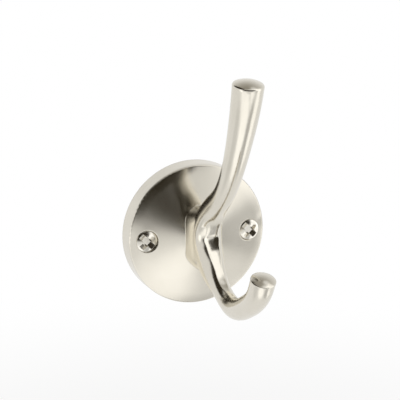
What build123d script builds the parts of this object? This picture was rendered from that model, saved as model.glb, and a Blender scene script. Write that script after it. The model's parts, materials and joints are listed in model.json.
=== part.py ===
import os
from math import radians, sqrt, tan

from build123d import *
from scipy.interpolate import CubicSpline

# Frame: the wall is the plane Y = 0, the hook stands out towards -Y, +Z is up and X = 0 halves the hook.
# "Reach" is a distance out from the wall, and "height" is measured from the centre of the base.

# Round base
base_diameter = 50.0
rim_depth = 6.7
rim_draft = 3.0
face_rise = 10.5
rim_round = 0.5
back_rim_width = 3.2
back_relief = 3.0
back_core_diameter = 20.0
boss_diameter = 11.0

# Screw holes
screw_spacing = 37.6
hole_diameter = 4.0
sink_diameter = 7.8
sink_angle = 90.0
sink_below_face = 0.2

# Screws
head_diameter = 7.3
head_edge = 0.25
head_dome = 0.9
seat_clearance = 0.05
neck_under_head = 2.9
thread_diameter = 3.5
screw_length = 16.0
point_length = 4.0
recess_width = 3.8
recess_slot = 0.9
recess_depth = 1.4

# Post between the base and the arms
post_width = 11.2
post_height = 21.4
post_lift = 0.7
saddle_post_width = 10.0
saddle_post_height = 22.6
saddle_post_lift = 0.6
buried_post_width = 8.2
buried_post_height = 23.0
buried_post_lift = 1.0
buried_post_reach = 17.6

# Upper arm, from its tip to the neck above the post
arm_tip_reach = 48.0
arm_tip_height = 60.2
arm_tip_diameter = 9.9
arm_tip_lean = 79.0
arm_middle_reach = 41.5
arm_middle_height = 40.0
arm_middle_diameter = 8.2
neck_reach = 28.0
neck_height = 18.8
neck_diameter = 7.3
arm_dome = 1.3
arm_dome_round = 0.9

# Saddle, where the two arms part in front of the post
shoulder_reach = 19.4
shoulder_height = 11.4
shoulder_width = 8.6
shoulder_thickness = 8.6
saddle_reach = 15.2
saddle_height = 2.0
saddle_width = 10.0
saddle_thickness = 9.4
hip_reach = 18.6
hip_height = -6.2
hip_width = 8.8
hip_thickness = 11.8

# Lower hook, from the saddle to its tip
waist_reach = 27.5
waist_height = -12.6
waist_width = 6.3
waist_thickness = 7.0
bottom_reach = 38.0
bottom_height = -15.4
bottom_diameter = 6.8
rise_reach = 50.5
rise_height = -10.2
rise_diameter = 7.4
hook_tip_reach = 60.8
hook_tip_height = 2.3
hook_tip_diameter = 8.1
hook_tip_lean = 70.0
hook_dome = 1.0
hook_dome_round = 0.4

# Sections that the arms are lofted through
section_count = 31

# Polished band, hollow across, down the front of the neck, round the saddle and along the lower hook
band_reach = 23.5
band_height = 9.1
band_lean = 5.0
band_lead_radius = 4.0
band_lead_turn = 66.0
band_neck_length = 3.6
band_saddle_radius = 2.2
band_saddle_turn = 59.0
band_hook_length = 11.0
band_hook_radius = 12.2
band_hook_turn = 62.0
band_hollow_radius = 11.0

# Sizes that follow from the ones above
base_radius = base_diameter / 2
rim_front_radius = base_radius - rim_depth * tan(radians(rim_draft))
apex_reach = rim_depth + rim_front_radius * tan(radians(face_rise))
screw_offset = screw_spacing / 2
sink_reach = rim_depth + (rim_front_radius - screw_offset) * tan(radians(face_rise)) - sink_below_face
seat_slope = tan(radians(sink_angle / 2))
head_reach = sink_reach + seat_clearance - (sink_diameter - head_diameter) / 2 / seat_slope
seat_reach = head_reach - (head_diameter - neck_under_head) / 2 / seat_slope
head_top = head_reach + head_edge + head_dome
point_reach = head_reach - screw_length
band_half_depth = 0.475 * band_saddle_radius
band_half_width = sqrt(band_hollow_radius * band_half_depth)

# Seen from the side: x runs out from the wall and y runs up
side = Plane(origin=(0, 0, 0), x_dir=(0, -1, 0), z_dir=(-1, 0, 0))


def at(reach, height):
    """The point on the hook's middle plane at a reach from the wall and a height."""
    return side.from_local_coords(Vector(reach, height))


def facing_wall(reach):
    """A plane across the wall axis, with X to the right and Z up, looking at the hook from the front."""
    return Plane(origin=at(reach, 0), x_dir=(1, 0, 0), z_dir=(0, -1, 0))


def leaning(angle):
    """The direction on the middle plane that rises at an angle from level, out from the wall."""
    return at(1, 0).rotate(Axis.X, -angle)


# Stations down the arms: reach, height, width across the hook, thickness on its middle plane
stations = [
    (arm_tip_reach, arm_tip_height, arm_tip_diameter, arm_tip_diameter),
    (arm_middle_reach, arm_middle_height, arm_middle_diameter, arm_middle_diameter),
    (neck_reach, neck_height, neck_diameter, neck_diameter),
    (shoulder_reach, shoulder_height, shoulder_width, shoulder_thickness),
    (saddle_reach, saddle_height, saddle_width, saddle_thickness),
    (hip_reach, hip_height, hip_width, hip_thickness),
    (waist_reach, waist_height, waist_width, waist_thickness),
    (bottom_reach, bottom_height, bottom_diameter, bottom_diameter),
    (rise_reach, rise_height, rise_diameter, rise_diameter),
    (hook_tip_reach, hook_tip_height, hook_tip_diameter, hook_tip_diameter),
]

# One line runs down the upper arm, round the saddle and along the lower hook
with BuildLine() as spine:
    Spline(
        [at(reach, height) for reach, height, width, thickness in stations],
        tangents=[-leaning(arm_tip_lean), leaning(hook_tip_lean)],
    )
spine_edge = spine.edges()[0]

# Width and thickness vary smoothly from station to station
station_places = [spine_edge.param_at_point(at(row[0], row[1])) for row in stations]
section_sizes = CubicSpline(station_places, [row[2:] for row in stations])


def across_spine(place):
    """The plane square to the spine at a fraction of its length, with its x axis across the hook."""
    return Plane(origin=spine_edge @ place, x_dir=(1, 0, 0), z_dir=spine_edge % place)


# The polished band seen from the side, from the front of the neck to the bottom of the lower hook
with BuildLine() as band_side_view:
    lead_in = JernArc(
        (band_reach, band_height), Vector(-1, 0).rotate(Axis.Z, band_lean), band_lead_radius, band_lead_turn
    )
    neck_flat = PolarLine(lead_in @ 1, band_neck_length, direction=lead_in % 1)
    saddle_bend = JernArc(neck_flat @ 1, neck_flat % 1, band_saddle_radius, band_saddle_turn)
    hook_flat = PolarLine(saddle_bend @ 1, band_hook_length, direction=saddle_bend % 1)
    JernArc(hook_flat @ 1, hook_flat % 1, band_hook_radius, band_hook_turn)
band_path = side * band_side_view.wires()[0]

with BuildPart() as hook_body:
    # Upper arm, saddle and lower hook
    for index in range(section_count):
        place = index / (section_count - 1)
        width, thickness = section_sizes(place)
        with BuildSketch(across_spine(place)):
            Ellipse(width / 2, thickness / 2)
    loft()

    # Domed ends of the upper arm and the lower hook, with soft edges, turned about the arms' own line
    for place, inward, diameter, dome, softness in (
        (0, spine_edge % 0, arm_tip_diameter, arm_dome, arm_dome_round),
        (1, -(spine_edge % 1), hook_tip_diameter, hook_dome, hook_dome_round),
    ):
        end_plane = Plane(origin=spine_edge @ place, x_dir=(1, 0, 0), z_dir=Vector(1, 0, 0).cross(inward))
        with BuildSketch(end_plane) as waste:
            with BuildLine():
                corners = Polyline(
                    (0, 0),
                    (diameter, 0),
                    (diameter, dome + softness),
                    (diameter / 2, dome + softness),
                    (diameter / 2, dome),
                )
                TangentArc(corners @ 0, corners @ 1, tangent=(1, 0))
            make_face()
            fillet(waste.vertices().sort_by_distance((diameter / 2, dome))[0], softness)
        revolve(axis=Axis(end_plane.origin, inward), mode=Mode.SUBTRACT)

    # Polished band, hollow across
    with BuildSketch(Plane(origin=at(band_reach, band_height), x_dir=(1, 0, 0), z_dir=-leaning(band_lean))):
        with Locations((0, band_half_depth)):
            Ellipse(band_half_width, band_half_depth)
    sweep(path=band_path, mode=Mode.SUBTRACT)

    # Base, turned about the wall axis
    with BuildSketch(side) as base_profile:
        with BuildLine():
            Polyline(
                (0, 0),
                (0, base_radius),
                (rim_depth, rim_front_radius),
                (apex_reach, 0),
                close=True,
            )
        make_face()
        fillet(base_profile.vertices().sort_by_distance((rim_depth, rim_front_radius))[0], rim_round)
    revolve(axis=Axis.Y)

    # Post, from inside the base to inside the arms
    with BuildSketch(facing_wall(rim_depth)):
        with Locations((0, post_lift)):
            SlotOverall(post_height, post_width, rotation=90)
    with BuildSketch(facing_wall(saddle_reach)):
        with Locations((0, saddle_post_lift)):
            SlotOverall(saddle_post_height, saddle_post_width, rotation=90)
    with BuildSketch(facing_wall(buried_post_reach)):
        with Locations((0, buried_post_lift)):
            SlotOverall(buried_post_height, buried_post_width, rotation=90)
    loft()

    # Relief in the back, round a core under the post and a boss at each screw
    with BuildSketch(facing_wall(0)):
        Circle(base_radius - back_rim_width)
        Circle(back_core_diameter / 2, mode=Mode.SUBTRACT)
        with Locations((-screw_offset, 0), (screw_offset, 0)):
            Circle(boss_diameter / 2, mode=Mode.SUBTRACT)
    extrude(amount=back_relief, mode=Mode.SUBTRACT)

    # Countersunk screw holes
    with Locations(facing_wall(sink_reach)):
        with Locations((-screw_offset, 0), (screw_offset, 0)):
            CounterSinkHole(hole_diameter / 2, sink_diameter / 2, counter_sink_angle=sink_angle)

hook_body.part.label = "hook_body"

with BuildPart() as mounting_screws:
    # One screw, turned about its own line
    with BuildSketch(side.offset(screw_offset)):
        with BuildLine():
            outline = Polyline(
                (head_top, 0),
                (point_reach, 0),
                (point_reach + point_length, thread_diameter / 2),
                (0, thread_diameter / 2),
                (0, neck_under_head / 2),
                (seat_reach, neck_under_head / 2),
                (head_reach, head_diameter / 2),
                (head_reach + head_edge, head_diameter / 2),
            )
            TangentArc(outline @ 1, outline @ 0, tangent=(0, 1), tangent_from_first=False)
        make_face()
    revolve(axis=Axis((-screw_offset, 0, 0), (0, 1, 0)))

    # Cross recess in the head
    with BuildSketch(facing_wall(head_top)):
        with Locations((-screw_offset, 0)):
            Rectangle(recess_width, recess_slot, rotation=45)
            Rectangle(recess_slot, recess_width, rotation=45)
    extrude(amount=-recess_depth, mode=Mode.SUBTRACT)

    # The other screw
    mirror(about=Plane.YZ)

mounting_screws.part.label = "mounting_screws"

os.makedirs("parts", exist_ok=True)
export_step(hook_body.part, "parts/hook_body.step")
export_step(mounting_screws.part, "parts/mounting_screws.step")
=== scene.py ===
import json
from math import cos, pi, radians, sin

import bmesh
import bpy
from mathutils import Matrix, Vector

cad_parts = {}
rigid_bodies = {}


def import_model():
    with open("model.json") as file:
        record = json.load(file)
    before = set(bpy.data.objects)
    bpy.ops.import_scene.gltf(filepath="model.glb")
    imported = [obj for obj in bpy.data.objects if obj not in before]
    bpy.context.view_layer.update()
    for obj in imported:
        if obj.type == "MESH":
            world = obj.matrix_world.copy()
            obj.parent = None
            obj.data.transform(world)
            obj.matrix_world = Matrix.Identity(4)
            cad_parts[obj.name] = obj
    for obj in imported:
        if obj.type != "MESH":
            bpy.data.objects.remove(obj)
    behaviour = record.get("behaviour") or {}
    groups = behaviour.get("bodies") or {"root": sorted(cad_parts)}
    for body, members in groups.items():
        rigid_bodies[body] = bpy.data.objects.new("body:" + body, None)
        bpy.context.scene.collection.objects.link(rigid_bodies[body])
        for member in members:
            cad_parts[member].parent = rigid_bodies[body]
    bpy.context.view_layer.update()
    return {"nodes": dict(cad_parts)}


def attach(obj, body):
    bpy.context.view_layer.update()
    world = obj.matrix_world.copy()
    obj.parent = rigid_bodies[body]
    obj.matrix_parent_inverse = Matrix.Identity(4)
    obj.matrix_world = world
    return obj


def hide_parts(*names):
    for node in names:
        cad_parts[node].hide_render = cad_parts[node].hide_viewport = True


for leftover in list(bpy.data.objects):
    bpy.data.objects.remove(leftover)

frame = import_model()
scene = bpy.context.scene
scene.view_settings.view_transform = "Standard"

MM = 0.001
WHITE = (1.0, 1.0, 1.0, 1.0)

# Finishes: each fades between two colours over a range of its noise, and the noises add to the roughness;
# edge radii and the brushing's depth are in millimetres
SATIN_COLOURS = ((0.68, 0.645, 0.565, 1.0), (0.71, 0.675, 0.595, 1.0))
SATIN_ROUGHNESS = 0.14
SATIN_EDGE = 0.4
POLISHED_COLOURS = ((0.71, 0.68, 0.61, 1.0), (0.74, 0.71, 0.645, 1.0))
HOLLOW_ROUGHNESS = 0.06
HOLLOW_EDGE = 0.15
SCREW_ROUGHNESS = 0.17
SCREW_EDGE = 0.12
EDGE_SAMPLES = 8
NOISE_DETAIL = 2.0
CLOUD_SCALE = 90.0
CLOUD_RANGE = (0.35, 0.65)
CLOUD_ROUGHNESS = 0.03
HAZE_SCALE = 400.0
HAZE_RANGE = (0.3, 0.7)
HAZE_ROUGHNESS = 0.05
BRUSH_SCALE = 9000.0
BRUSH_ROUGHNESS = 0.06
BRUSH_STRETCH = (1.0, 1.0, 0.16)
BRUSH_DEPTH = 0.04
BRUSH_STRENGTH = 0.025


class Shade:
    """A socket of a node tree: arithmetic on it adds Math nodes, and node() adds any other node."""

    def __init__(self, tree, socket=None):
        self.tree = tree
        self.socket = socket

    def node(self, kind, settings=(), sockets=(), out=0):
        made = self.tree.nodes.new("ShaderNode" + kind)
        for name, value in dict(settings).items():
            setattr(made, name, value)
        for name, value in dict(sockets).items():
            if isinstance(value, Shade):
                self.tree.links.new(value.socket, made.inputs[name])
            else:
                made.inputs[name].default_value = value
        return Shade(self.tree, made.outputs[out])

    def math(self, operation, *values):
        return self.node("Math", {"operation": operation}, enumerate(values))

    def __add__(self, other):
        return self.math("ADD", self, other)

    def __radd__(self, other):
        return self.math("ADD", other, self)

    def __sub__(self, other):
        return self.math("SUBTRACT", self, other)

    def __rsub__(self, other):
        return self.math("SUBTRACT", other, self)

    def __mul__(self, other):
        return self.math("MULTIPLY", self, other)

    def __rmul__(self, other):
        return self.math("MULTIPLY", other, self)

    def step(self, low, high):
        """0 at low, 1 at high, and a smooth rise between them."""
        sockets = {"Value": self, "From Min": low, "From Max": high}
        return self.node("MapRange", {"interpolation_type": "SMOOTHSTEP"}, sockets)

    def blend(self, first, second):
        """From the first colour where this is 0 to the second where it is 1."""
        sockets = {"Factor": self, "A": first, "B": second}
        return self.node("Mix", {"data_type": "RGBA"}, sockets, out="Result")

    def noise(self, place, scale):
        return self.node("TexNoise", sockets={"Vector": place, "Scale": scale, "Detail": NOISE_DETAIL})


def new_material(name):
    material = bpy.data.materials.new(name)
    material.use_nodes = True
    material.node_tree.nodes.clear()
    return material, Shade(material.node_tree)


def finish_material(material, surface):
    output = material.node_tree.nodes.new("ShaderNodeOutputMaterial")
    material.node_tree.links.new(surface.socket, output.inputs["Surface"])
    return material


def metal(shade, colour, roughness, normal):
    sockets = {"Base Color": colour, "Metallic": 1.0, "Roughness": roughness, "Normal": normal}
    return shade.node("BsdfPrincipled", sockets=sockets)


def soft_edges(shade, radius):
    """Plated edges that catch the light as if rounded to a radius in millimetres."""
    return shade.node("Bevel", {"samples": EDGE_SAMPLES}, {"Radius": radius * MM})


def satin_nickel():
    material, shade = new_material("satin_nickel")
    place = shade.node("TexCoord", out="Object")
    stroke = shade.node("Mapping", sockets={"Vector": place, "Scale": BRUSH_STRETCH})
    brushing = shade.noise(stroke, BRUSH_SCALE)
    cloud = shade.noise(place, CLOUD_SCALE)
    colour = cloud.step(*CLOUD_RANGE).blend(*SATIN_COLOURS)
    roughness = SATIN_ROUGHNESS + brushing * BRUSH_ROUGHNESS + cloud * CLOUD_ROUGHNESS
    brushed = shade.node(
        "Bump",
        sockets={
            "Strength": BRUSH_STRENGTH,
            "Distance": BRUSH_DEPTH * MM,
            "Height": brushing,
            "Normal": soft_edges(shade, SATIN_EDGE),
        },
    )
    return finish_material(material, metal(shade, colour, roughness, brushed))


def polished_nickel(name, edge_radius, roughness):
    material, shade = new_material(name)
    haze = shade.noise(shade.node("TexCoord", out="Object"), HAZE_SCALE)
    colour = haze.step(*HAZE_RANGE).blend(*POLISHED_COLOURS)
    hazy = roughness + haze * HAZE_ROUGHNESS
    return finish_material(material, metal(shade, colour, hazy, soft_edges(shade, edge_radius)))


def add_piece(name, mesh, node, slot, *materials):
    piece = bpy.data.objects.new(name, mesh)
    scene.collection.objects.link(piece)
    mesh.materials.clear()
    for material in materials:
        mesh.materials.append(material)
    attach(piece, "root")
    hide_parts(node)


# Casting: the frame's own surface joined into one skin, with the hollow band polished.
# Lengths are in millimetres, and reach is the distance out from the wall.
SATIN, POLISHED = 0, 1
BAND_HALF_WIDTH = 3.3
BAND_NEAREST = 18.0
BAND_FURTHEST = 36.0
SKIN_MERGE = 0.002
SKIN_SHARP_EDGE = radians(24)

# Crotch of the band: its corner (reach, height), the way down through it and the hollow across it
CROTCH = (18.49, 1.836)
CROTCH_WAY = radians(280.5)
HOLLOW_BREADTH = 2.47
HOLLOW_STEEPEST = 0.35

# Distances on the way down, from the corner: the stretch cut finely, the polished stretch whose normals are
# set, and the softer stretch above it where the satin neck runs into the hollow
CUTS_START = -2.2
CUTS_END = 4.6
CUT_COUNT = 18
POLISH_START = -4.5
POLISH_END = 9.5
LEAD_START = -10.0
LEAD_END = -6.2
LEAD_MARGIN = 1.0
LEAD_WIDTH = (2.4, 4.0)
LEAD_FACING = Vector((0, -1, -1)).normalized()
LEAD_LEAST_FACING = 0.3
NECK_RADIUS_ACROSS = 4.2

# Slopes that the polishing leaves, in degrees, at distances on the way down
SLOPES = (
    (LEAD_START, -48.0),
    (CUTS_START, -19.0),
    (-1.5, -12.0),
    (-0.1, 16.0),
    (3.2, 27.0),
    (CUTS_END, 40.0),
)


def in_band(vert):
    """Whether a vertex lies in the narrow space round the band, where no other face fits whole."""
    across = abs(vert.co.x) / MM
    reach = -vert.co.y / MM
    return across < BAND_HALF_WIDTH and BAND_NEAREST < reach < BAND_FURTHEST


def down_crotch(point):
    """How far a point lies past the corner of the crotch, on the way down."""
    out = -point.y / MM - CROTCH[0]
    up = point.z / MM - CROTCH[1]
    return out * cos(CROTCH_WAY) + up * sin(CROTCH_WAY)


def ramp(value, low, high):
    """0 up to low, 1 from high on, and an even rise between them."""
    return min(max((value - low) / (high - low), 0.0), 1.0)


def polished_normal(point):
    """The way a point of the hollow faces, with the crotch and the run into it rounded by the polishing."""
    down = down_crotch(point)
    x = point.x / MM
    slope = SLOPES[0][1]
    for (start, first), (end, last) in zip(SLOPES, SLOPES[1:]):
        slope += (last - first) * ramp(down, start, end)
    hollow = min(max((x / HOLLOW_BREADTH) ** 3, -HOLLOW_STEEPEST), HOLLOW_STEEPEST)
    share = ramp(down, LEAD_START, POLISH_START)
    tilt = hollow * share - x / NECK_RADIUS_ACROSS * (1 - share)
    return Vector((-tilt, -cos(radians(slope)), sin(radians(slope)))).normalized()


def patches(skin):
    """Groups of joined faces: the frame's mesh is split along the edges of the solid's faces."""
    sorted_faces = set()
    for first in skin.faces:
        if first in sorted_faces:
            continue
        patch = [first]
        sorted_faces.add(first)
        for face in patch:
            for edge in face.edges:
                for other in edge.link_faces:
                    if other not in sorted_faces:
                        sorted_faces.add(other)
                        patch.append(other)
        yield patch


def cut_crotch(skin):
    """Cuts the polished band finely across the crotch, so that its normals can turn smoothly there."""
    way = Vector((0, -cos(CROTCH_WAY), sin(CROTCH_WAY)))
    corner = Vector((0, -CROTCH[0], CROTCH[1]))
    for cut in range(CUT_COUNT):
        down = CUTS_START + (CUTS_END - CUTS_START) * cut / (CUT_COUNT - 1)
        faces = [face for face in skin.faces if face.material_index == POLISHED]
        edges = dict.fromkeys(edge for face in faces for edge in face.edges)
        verts = dict.fromkeys(vert for face in faces for vert in face.verts)
        place = (corner + way * down) * MM
        bmesh.ops.bisect_plane(skin, geom=[*faces, *edges, *verts], plane_co=place, plane_no=way)


def set_polished_normals(mesh, hollow):
    """Rounds the normals of the hollow's faces and blends those of the neck above into them.

    A corner whose new normal is left at zero keeps its own.
    """
    own = [Vector(normal.vector) for normal in mesh.corner_normals]
    facing = [Vector()] * len(mesh.loops)
    for face in mesh.polygons:
        points = [mesh.vertices[vertex].co for vertex in face.vertices]
        downs = [down_crotch(point) for point in points]
        in_lead = LEAD_START - LEAD_MARGIN < min(downs) and max(downs) < POLISH_START
        if face.index in hollow and max(downs) < POLISH_END:
            for loop, point in zip(face.loop_indices, points):
                facing[loop] = polished_normal(point)
        elif in_lead and face.normal.dot(LEAD_FACING) > LEAD_LEAST_FACING:
            for loop, point, down in zip(face.loop_indices, points, downs):
                share = ramp(down, LEAD_START, LEAD_END) * (1 - ramp(abs(point.x) / MM, *LEAD_WIDTH))
                if share:
                    facing[loop] = own[loop].lerp(polished_normal(point), share).normalized()
    mesh.normals_split_custom_set(facing)


def cast_hook(satin, polished):
    mesh = frame["nodes"]["hook_body"].data.copy()
    mesh.name = "cast_hook"
    mesh.attributes.remove(mesh.attributes["custom_normal"])
    skin = bmesh.new()
    skin.from_mesh(mesh)
    for patch in patches(skin):
        finish = POLISHED if all(in_band(vert) for face in patch for vert in face.verts) else SATIN
        for face in patch:
            face.material_index = finish
            face.smooth = True
    bmesh.ops.remove_doubles(skin, verts=skin.verts, dist=SKIN_MERGE * MM)
    cut_crotch(skin)
    for edge in skin.edges:
        edge.smooth = edge.calc_face_angle(0.0) < SKIN_SHARP_EDGE
    skin.faces.index_update()
    hollow = {face.index for face in skin.faces if face.material_index == POLISHED}
    for face in skin.faces:
        if min(down_crotch(vert.co) for vert in face.verts) < POLISH_START:
            face.material_index = SATIN
    skin.to_mesh(mesh)
    skin.free()
    set_polished_normals(mesh, hollow)
    add_piece("cast_hook", mesh, "hook_body", "satin_nickel", satin, polished)


# Screws: distances out from the wall, radii and other lengths, in millimetres
SCREW_OFFSET = 18.8
HEAD_TOP = 8.53
HEAD_DROP = 0.9
HEAD_RADIUS = 3.64
HEAD_RINGS = 8
HEAD_EDGE = HEAD_TOP - HEAD_DROP
BREAK_ABOVE = 0.04
BREAK_BELOW = 0.06
BREAK_INWARD = 0.05
SEAT_TOP = 7.4
NECK_TOP = 5.2
NECK_RADIUS = 1.44
NECK_STEP = 0.4
CORE_TOP = 2.6
CORE_RADIUS = 1.28
POINT_START = -4.6
POINT_END = -8.55
TURNED_SIDES = 64
TURNED_MERGE = 0.001
SCREW_SHARP_EDGE = radians(28)

# Blades of the cross recess: length, width and distance from the wall, above the head and at the floor
BLADE_TOP = (9.2, 2.2, HEAD_TOP + 0.3)
BLADE_FLOOR = (2.7, 1.7, HEAD_TOP - 1.6)
BLADE_TURNS = (45, 135)
RECESS_MERGE = 0.003

# Thread: a ridge wound round the core, which shrinks to a fine share of its radius at the point
THREAD_PITCH = 1.27
THREAD_TURNS = 8
THREAD_SIDES = 32
CREST_RADIUS = 1.74
RIDGE_FOOT_RADIUS = 1.15
RIDGE_HALF_WIDTH = 0.32
FINEST_SHARE = 0.02


def plain_screw():
    """A screw on the wall axis, turned from its outline."""
    outline = [
        (HEAD_TOP - HEAD_DROP * (ring / HEAD_RINGS) ** 2, HEAD_RADIUS * ring / HEAD_RINGS)
        for ring in range(HEAD_RINGS)
    ]
    outline += [
        (HEAD_EDGE + BREAK_ABOVE, HEAD_RADIUS - BREAK_INWARD),
        (HEAD_EDGE - BREAK_BELOW, HEAD_RADIUS),
        (SEAT_TOP, HEAD_RADIUS),
        (NECK_TOP, NECK_RADIUS),
        (CORE_TOP + NECK_STEP, NECK_RADIUS),
        (CORE_TOP, CORE_RADIUS),
        (POINT_START, CORE_RADIUS),
        (POINT_END, 0.0),
    ]
    shape = bmesh.new()
    row = [shape.verts.new((radius, -reach, 0)) for reach, radius in outline]
    edges = [shape.edges.new(pair) for pair in zip(row, row[1:])]
    bmesh.ops.spin(
        shape, geom=row + edges, axis=(0, 1, 0), angle=2 * pi, steps=TURNED_SIDES, use_merge=True
    )
    bmesh.ops.remove_doubles(shape, verts=shape.verts, dist=TURNED_MERGE)
    bmesh.ops.recalc_face_normals(shape, faces=shape.faces)
    return shape


def recess_blade(turn):
    """One of the two tapered blades that cut a screw's cross recess."""
    shape = bmesh.new()
    bmesh.ops.create_cube(shape, size=1.0)
    for vert in shape.verts:
        length, width, reach = BLADE_TOP if vert.co.y < 0 else BLADE_FLOOR
        vert.co = (length * vert.co.x, -reach, width * vert.co.z)
    about_wall_axis = Matrix.Rotation(radians(turn), 3, "Y")
    bmesh.ops.rotate(shape, verts=shape.verts, cent=(0, 0, 0), matrix=about_wall_axis)
    bmesh.ops.recalc_face_normals(shape, faces=shape.faces)
    return shape


def wind_thread(shape):
    """Winds a thread round a screw's core, down to its point."""
    before = set(shape.verts)
    ridge = (
        (CORE_TOP + RIDGE_HALF_WIDTH, RIDGE_FOOT_RADIUS),
        (CORE_TOP, CREST_RADIUS),
        (CORE_TOP - RIDGE_HALF_WIDTH, RIDGE_FOOT_RADIUS),
    )
    row = [shape.verts.new((radius, -reach, 0)) for reach, radius in ridge]
    edges = [shape.edges.new(pair) for pair in zip(row, row[1:] + row[:1])]
    bmesh.ops.spin(
        shape,
        geom=row + edges,
        axis=(0, 1, 0),
        dvec=(0, THREAD_PITCH / THREAD_SIDES, 0),
        angle=2 * pi * THREAD_TURNS,
        steps=THREAD_SIDES * THREAD_TURNS,
    )
    wound = [vert for vert in shape.verts if vert not in before]
    for vert in wound:
        share = (-vert.co.y - POINT_END) / (POINT_START - POINT_END)
        taper = min(max(share, FINEST_SHARE), 1.0)
        vert.co.x *= taper
        vert.co.z *= taper
    open_edges = dict.fromkeys(
        edge for vert in wound for edge in vert.link_edges if len(edge.link_faces) == 1
    )
    bmesh.ops.holes_fill(shape, edges=list(open_edges), sides=len(ridge))
    thread_faces = dict.fromkeys(face for vert in wound for face in vert.link_faces)
    bmesh.ops.recalc_face_normals(shape, faces=list(thread_faces))


def temporary(name, shape):
    """Puts a shape in the scene while the recess is cut."""
    mesh = bpy.data.meshes.new(name)
    shape.to_mesh(mesh)
    shape.free()
    item = bpy.data.objects.new(name, mesh)
    scene.collection.objects.link(item)
    return item


def mounting_screws(polished):
    blank = temporary("screw_blank", plain_screw())
    blades = [temporary("recess_blade", recess_blade(turn)) for turn in BLADE_TURNS]
    for blade in blades:
        cut = blank.modifiers.new("cross_recess", "BOOLEAN")
        cut.operation = "DIFFERENCE"
        cut.solver = "EXACT"
        cut.object = blade
    cut_blank = blank.evaluated_get(bpy.context.evaluated_depsgraph_get())
    cut_mesh = bpy.data.meshes.new_from_object(cut_blank)
    screw = bmesh.new()
    screw.from_mesh(cut_mesh)
    for used in (blank.data, *(blade.data for blade in blades), cut_mesh):
        bpy.data.meshes.remove(used)
    bmesh.ops.remove_doubles(screw, verts=screw.verts, dist=RECESS_MERGE)
    wind_thread(screw)
    bmesh.ops.translate(screw, verts=screw.verts, vec=(-SCREW_OFFSET, 0, 0))
    bmesh.ops.mirror(screw, geom=screw.verts[:] + screw.edges[:] + screw.faces[:], axis="X")
    bmesh.ops.recalc_face_normals(screw, faces=screw.faces)
    bmesh.ops.scale(screw, verts=screw.verts, vec=(MM, MM, MM))
    for face in screw.faces:
        face.smooth = True
    for edge in screw.edges:
        edge.smooth = edge.calc_face_angle(0.0) < SCREW_SHARP_EDGE
    mesh = bpy.data.meshes.new("mounting_screws")
    screw.to_mesh(mesh)
    screw.free()
    add_piece("polished_screws", mesh, "mounting_screws", "polished_nickel", polished)


cast_hook(satin_nickel(), polished_nickel("polished_hollow", HOLLOW_EDGE, HOLLOW_ROUGHNESS))
mounting_screws(polished_nickel("polished_nickel", SCREW_EDGE, SCREW_ROUGHNESS))


# Floor, in metres: it shows the camera a share of plain white, which grows outwards, and otherwise the
# hook's soft shadow; the metal doesn't mirror it
FLOOR_RADIUS = 0.6
FLOOR_HEIGHT = -0.14
FLOOR_SIDES = 96
FLOOR_GREY = (0.88, 0.88, 0.88, 1.0)
PLAIN_SHARE = 0.75
SHADOW_FADE = (0.1, 0.35)


def pale_floor():
    material, shade = new_material("pale_floor")
    camera_ray = shade.node("LightPath", out="Is Camera Ray")
    place = shade.node("TexCoord", out="Object")
    away = shade.node("VectorMath", {"operation": "LENGTH"}, {0: place}, out="Value")
    white = shade.node("Emission", sockets={"Color": WHITE, "Strength": 1.0})
    matt = shade.node("BsdfDiffuse", sockets={"Color": FLOOR_GREY})
    plain = camera_ray * (PLAIN_SHARE + (1 - PLAIN_SHARE) * away.step(*SHADOW_FADE))
    return finish_material(material, shade.node("MixShader", sockets={0: plain, 1: matt, 2: white}))


disc = bmesh.new()
bmesh.ops.create_circle(disc, cap_ends=True, segments=FLOOR_SIDES, radius=FLOOR_RADIUS)
bmesh.ops.translate(disc, verts=disc.verts, vec=(0, 0, FLOOR_HEIGHT))
floor_mesh = bpy.data.meshes.new("floor")
disc.to_mesh(floor_mesh)
disc.free()
floor = bpy.data.objects.new("floor", floor_mesh)
floor.visible_glossy = False
floor.visible_shadow = False
floor_mesh.materials.append(pale_floor())
scene.collection.objects.link(floor)


# Room that the metal mirrors, plain white to the camera. Angles are in degrees: turn runs round from the
# front, towards +X, and rise is above level. Each pair is where a fade starts and ends.
ROOM_WHITE = (0.95, 0.95, 0.95, 1.0)
CEILING_GREY = (0.37, 0.35, 0.31, 1.0)
DARK = (0.03, 0.024, 0.014, 1.0)

# Dark front where the camera stands, whose right edge shifts with height, and the dark upper left
FRONT_LEFT, FRONT_RIGHT = (-66, -40), (11.5, 16.5)
FRONT_BOTTOM, FRONT_TOP = (-15.5, -5.5), (34, 44)
FRONT_SHIFT, FRONT_SHIFT_RISE = 20, (8, 15)
LEFT_START, LEFT_END = (-160, -140), (-52, -42)
LEFT_BOTTOM, LEFT_TOP = (19, 27), (66, 76)

# Dim ceiling, and the two lights in it: turn, rise, and how far from there each is full and ends
CEILING_RISE = (20, 80)
CEILING_LIGHTS = ((28, 50, 18, 30), (91, 67, 4, 13))

# Round cards below the hook: turn, rise, how far from there each is full and ends, and its brightness
CARDS = (
    (12, -33, 5, 17, 1.4),
    (-34, -52, 18, 24, 1.42),
    (-96, -42, 8, 18, 0.8),
    (-73, -15, 8, 15, 1.65),
    (-58, -33, 9, 14, 1.35),
    (35, -54, 12, 18, 0.6),
    (43, -15, 9, 14, 0.55),
    (62, -46, 13, 14, 1.42),
    (66, -30, 12, 13, 1.42),
    (64, -13, 15, 16, 1.42),
)


def aim(turn, rise):
    """The direction at a turn and a rise."""
    level = cos(radians(rise))
    return Vector((sin(radians(turn)) * level, -cos(radians(turn)) * level, sin(radians(rise))))


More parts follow.
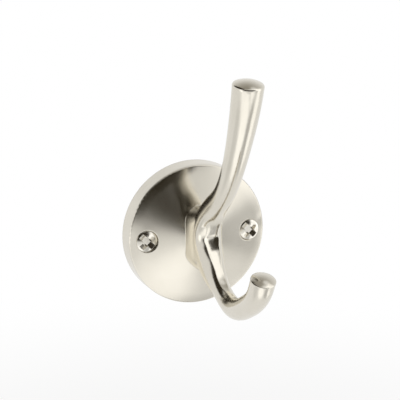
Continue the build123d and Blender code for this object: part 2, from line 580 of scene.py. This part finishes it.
def studio_room():
    world = bpy.data.worlds.new("studio_room")
    scene.world = world
    world.use_nodes = True
    tree = world.node_tree
    tree.nodes.clear()
    shade = Shade(tree)
    way = shade.node("TexCoord", out="Generated")
    x, y, z = (shade.node("SeparateXYZ", sockets={"Vector": way}, out=axis) for axis in "XYZ")
    turn = shade.math("ARCTAN2", x, 0 - y)
    rise = shade.math("ARCSINE", z)

    def past(angle, fade):
        return angle.step(*map(radians, fade))

    def between(first, start, last, end):
        return past(first, start) * (1 - past(last, end))

    def around(turn_to, rise_to, inner, outer):
        sockets = {0: way, 1: aim(turn_to, rise_to)}
        near = shade.node("VectorMath", {"operation": "DOT_PRODUCT"}, sockets, out="Value")
        return near.step(cos(radians(outer)), cos(radians(inner)))

    shifted = turn - radians(FRONT_SHIFT) * past(rise, FRONT_SHIFT_RISE)
    front = between(turn, FRONT_LEFT, shifted, FRONT_RIGHT) * between(rise, FRONT_BOTTOM, rise, FRONT_TOP)
    left = between(turn, LEFT_START, turn, LEFT_END) * between(rise, LEFT_BOTTOM, rise, LEFT_TOP)
    ceiling = past(rise, CEILING_RISE)
    for light in CEILING_LIGHTS:
        ceiling = ceiling * (1 - around(*light))
    colour = ceiling.blend(ROOM_WHITE, CEILING_GREY)
    for *place, level in CARDS:
        colour = around(*place).blend(colour, (level, level, level, 1.0))
    colour = shade.math("MAXIMUM", front, left).blend(colour, DARK)
    colour = shade.node("LightPath", out="Is Camera Ray").blend(colour, WHITE)
    back = shade.node("Background", sockets={"Color": colour, "Strength": 1.0})
    output = tree.nodes.new("ShaderNodeOutputWorld")
    tree.links.new(back.socket, output.inputs["Surface"])


def soft_box(name, turn, rise, distance, width, height, power):
    lamp = bpy.data.lights.new(name, "AREA")
    lamp.shape = "RECTANGLE"
    lamp.size = width
    lamp.size_y = height
    lamp.energy = power
    holder = bpy.data.objects.new(name, lamp)
    scene.collection.objects.link(holder)
    holder.location = distance * aim(turn, rise)
    holder.rotation_euler = (radians(90 - rise), 0, radians(turn))


studio_room()
soft_box("key_box", turn=51, rise=28, distance=1.0, width=0.73, height=1.4, power=1.8)

# Camera, fitted to the photograph: place in metres, turn and drop in degrees, lens in millimetres
CAMERA_PLACE = (-0.13818, -0.35621, 0.11888)
CAMERA_TURN = -21.69
CAMERA_DROP = 15.82
CAMERA_LENS = 103.22
CAMERA_SENSOR = 36.0

camera = bpy.data.cameras.new("camera")
camera.sensor_width = CAMERA_SENSOR
camera.lens = CAMERA_LENS
viewer = bpy.data.objects.new("camera", camera)
viewer.location = CAMERA_PLACE
viewer.rotation_euler = (radians(90 - CAMERA_DROP), 0, radians(CAMERA_TURN))
scene.collection.objects.link(viewer)
scene.camera = viewer
